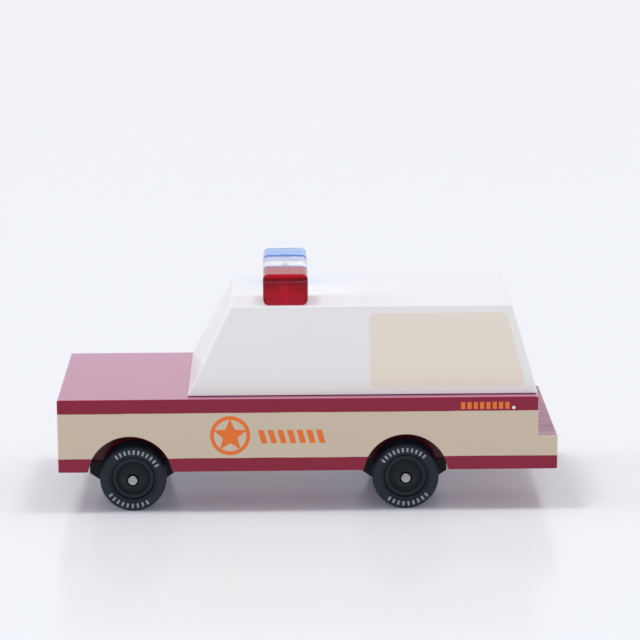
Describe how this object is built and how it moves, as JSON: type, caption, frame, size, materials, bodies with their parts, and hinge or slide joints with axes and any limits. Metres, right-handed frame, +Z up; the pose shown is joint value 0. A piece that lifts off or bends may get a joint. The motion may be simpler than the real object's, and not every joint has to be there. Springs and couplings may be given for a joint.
{
  "type": "toy police car",
  "caption": "Palm-size wooden toy police estate car: painted block body and cabin, coloured light bar on the roof, and wheelsets that roll on steel axles.",
  "frame": {"origin": "on the floor under the middle of the car's box", "axes": "+X forward, +Y to the car's left, +Z up"},
  "size_m": [0.105, 0.044, 0.0496],
  "materials": {
    "maroon_paint": "satin paint on wood",
    "white_paint": "satin paint on wood",
    "bare_wood": "bare turned wood",
    "carrier_plastic": "moulded, matt",
    "screw_steel": "zinc plated",
    "red_resin": "clear cast, polished",
    "clear_resin": "clear cast, polished",
    "blue_resin": "clear cast, polished",
    "pin_steel": "bright drawn",
    "axle_steel": "bright drawn, cut ends",
    "hub_plastic": "moulded, satin",
    "tyre_rubber": "moulded rubber, matt"
  },
  "bodies": {
    "car": {"body_block": "maroon_paint", "cabin_block": "white_paint", "cabin_dowels": "bare_wood", "front_axle_carrier": "carrier_plastic", "rear_axle_carrier": "carrier_plastic", "front_carrier_screws": "screw_steel", "rear_carrier_screws": "screw_steel", "light_red": "red_resin", "light_clear": "clear_resin", "light_blue": "blue_resin", "light_pins": "pin_steel"},
    "front_wheelset": {"front_axle": "axle_steel", "front_left_hub": "hub_plastic", "front_left_tyre": "tyre_rubber", "front_right_hub": "hub_plastic", "front_right_tyre": "tyre_rubber"},
    "rear_wheelset": {"rear_axle": "axle_steel", "rear_left_hub": "hub_plastic", "rear_left_tyre": "tyre_rubber", "rear_right_hub": "hub_plastic", "rear_right_tyre": "tyre_rubber"}
  },
  "joints": [
    {"name": "front_wheels_turn", "type": "hinge", "parent": "car", "child": "front_wheelset", "pos_m": [0.0369, 0, 0.007], "axis": [0, 1, 0], "continuous": true},
    {"name": "rear_wheels_turn", "type": "hinge", "parent": "car", "child": "rear_wheelset", "pos_m": [-0.0206, 0, 0.007], "axis": [0, 1, 0], "continuous": true}
  ]
}
